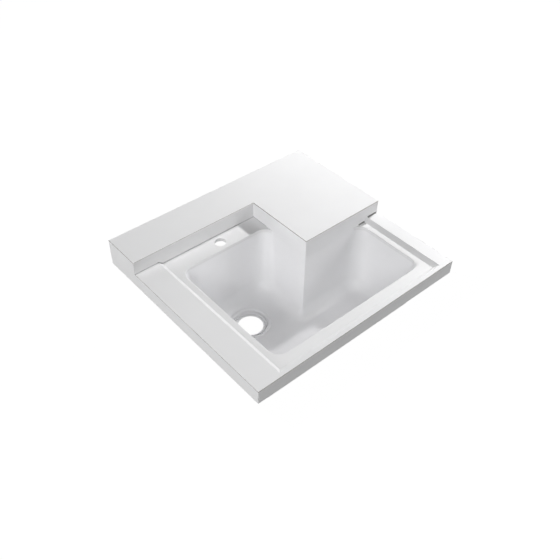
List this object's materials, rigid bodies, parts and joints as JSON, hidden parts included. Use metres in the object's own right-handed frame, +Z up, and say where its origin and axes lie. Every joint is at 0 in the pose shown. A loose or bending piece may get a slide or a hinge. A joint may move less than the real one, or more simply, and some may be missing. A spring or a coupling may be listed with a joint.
{
  "type": "countertop basin",
  "caption": "Laundry counter basin: L-plan bowl moulded round a raised L-shaped platform, with a recessed tap deck, raised rims and an open waste outlet.",
  "frame": {"origin": "middle of the rectangle that the basin covers, on the plane of the bowl's flat underside", "axes": "+X to the user's right, +Y to the wall at the back, +Z up out of the bowl"},
  "size_m": [0.66, 0.6, 0.27],
  "materials": {
    "solid_surface": "smooth white mineral-filled resin sheet, satin",
    "moulded_bowl": "smooth white moulded mineral-filled resin, satin gloss",
    "hidden_board": "sawn off-cut of the same sheet, matt"
  },
  "bodies": {
    "root": {"bowl": "moulded_bowl", "deck_panel": "solid_surface", "rim_left": "solid_surface", "rim_front": "solid_surface", "rim_right": "solid_surface", "platform_top": "solid_surface", "platform_front": "solid_surface", "block_left_panel": "solid_surface", "block_front_panel": "solid_surface", "left_side": "solid_surface", "right_side": "solid_surface", "back_side": "solid_surface", "front_edge": "solid_surface", "batten_left": "hidden_board", "batten_right": "hidden_board", "batten_front": "hidden_board", "batten_back": "hidden_board", "strip_rib": "hidden_board", "block_rib": "hidden_board"}
  },
  "joints": []
}
